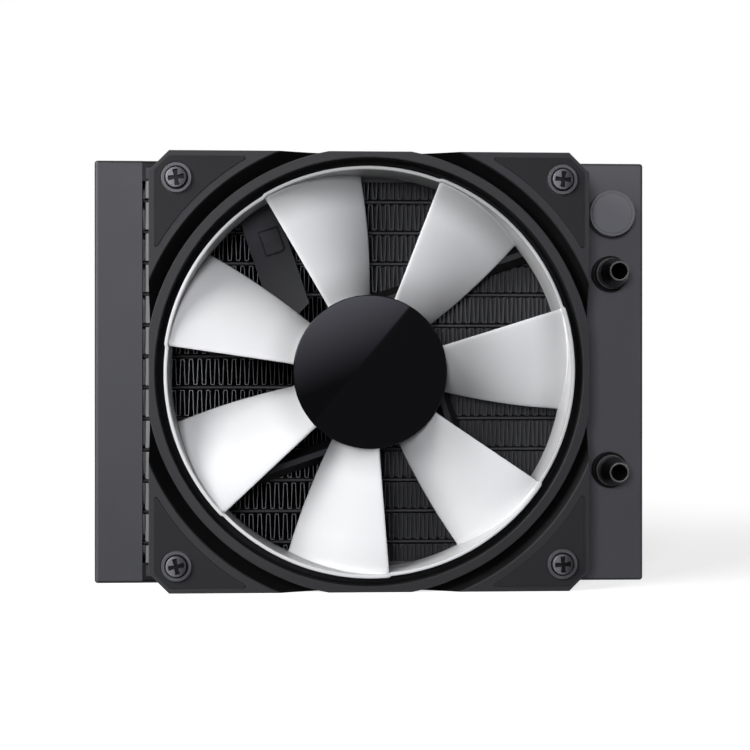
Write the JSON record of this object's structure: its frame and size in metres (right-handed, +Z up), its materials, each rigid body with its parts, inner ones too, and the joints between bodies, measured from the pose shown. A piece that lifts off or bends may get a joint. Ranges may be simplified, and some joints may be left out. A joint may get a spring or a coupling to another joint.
{
  "type": "liquid cooler radiator with fan",
  "caption": "Liquid cooler radiator with folded fins between two tanks, hose fittings, a fill cap and a framed fan screwed to its front.",
  "frame": {"origin": "centre of the four case screw holes, on the radiator's back face and on the fan's axis", "axes": "+X along the radiator towards the tank with the fittings, +Y from the fan's front to the radiator's back, +Z up"},
  "size_m": [0.157, 0.0538, 0.12],
  "materials": {
    "tank_paint": "satin dark grey powder coat",
    "core_paint": "thin black paint on folded aluminium",
    "fitting_black": "glossy black anodised metal",
    "cap_paint": "satin dark grey, like the tank",
    "seal_rubber": "matt black rubber",
    "frame_plastic": "fine satin black plastic",
    "pad_rubber": "matt dark rubber",
    "screw_metal": "dark nickel",
    "washer_metal": "dark zinc",
    "blade_white": "satin white plastic",
    "hub_gloss": "glossy black plastic",
    "bright_steel": "bare steel",
    "magnet_grey": "bonded magnet, dull grey",
    "bronze": "sintered bronze",
    "tube_brass": "turned brass",
    "former_plastic": "natural nylon",
    "winding_copper": "enamelled copper wire",
    "board_green": "green circuit board"
  },
  "bodies": {
    "cooler": {"left_tank": "tank_paint", "right_tank": "tank_paint", "top_side_plate": "tank_paint", "bottom_side_plate": "tank_paint", "left_header": "tank_paint", "right_header": "tank_paint", "tank_baffle": "tank_paint", "flat_tube_01": "core_paint", "flat_tube_02": "core_paint", "flat_tube_03": "core_paint", "flat_tube_04": "core_paint", "flat_tube_05": "core_paint", "flat_tube_06": "core_paint", "flat_tube_07": "core_paint", "flat_tube_08": "core_paint", "flat_tube_09": "core_paint", "flat_tube_10": "core_paint", "flat_tube_11": "core_paint", "flat_tube_12": "core_paint", "fin_strip_01": "core_paint", "fin_strip_02": "core_paint", "fin_strip_03": "core_paint", "fin_strip_04": "core_paint", "fin_strip_05": "core_paint", "fin_strip_06": "core_paint", "fin_strip_07": "core_paint", "fin_strip_08": "core_paint", "fin_strip_09": "core_paint", "fin_strip_10": "core_paint", "fin_strip_11": "core_paint", "fin_strip_12": "core_paint", "fin_strip_13": "core_paint", "upper_fitting": "fitting_black", "lower_fitting": "fitting_black", "fill_cap": "cap_paint", "fill_seal": "seal_rubber", "fan_frame": "frame_plastic", "front_pads": "pad_rubber", "rear_pads": "pad_rubber", "screws": "screw_metal", "screw_washers": "washer_metal", "bearing_sleeve": "bronze", "bearing_tube": "tube_brass", "thrust_pad": "former_plastic", "stator_core": "bright_steel", "coil_formers": "former_plastic", "coils": "winding_copper", "circuit_board": "board_green"},
    "rotor": {"impeller": "blade_white", "hub_cap": "hub_gloss", "rotor_yoke": "bright_steel", "magnet_ring": "magnet_grey", "shaft": "bright_steel", "shaft_clip": "bright_steel"}
  },
  "joints": [
    {"name": "fan_spin", "type": "hinge", "parent": "cooler", "child": "rotor", "pos_m": [0, -0.0421, 0], "axis": [0, -1, 0], "continuous": true}
  ]
}
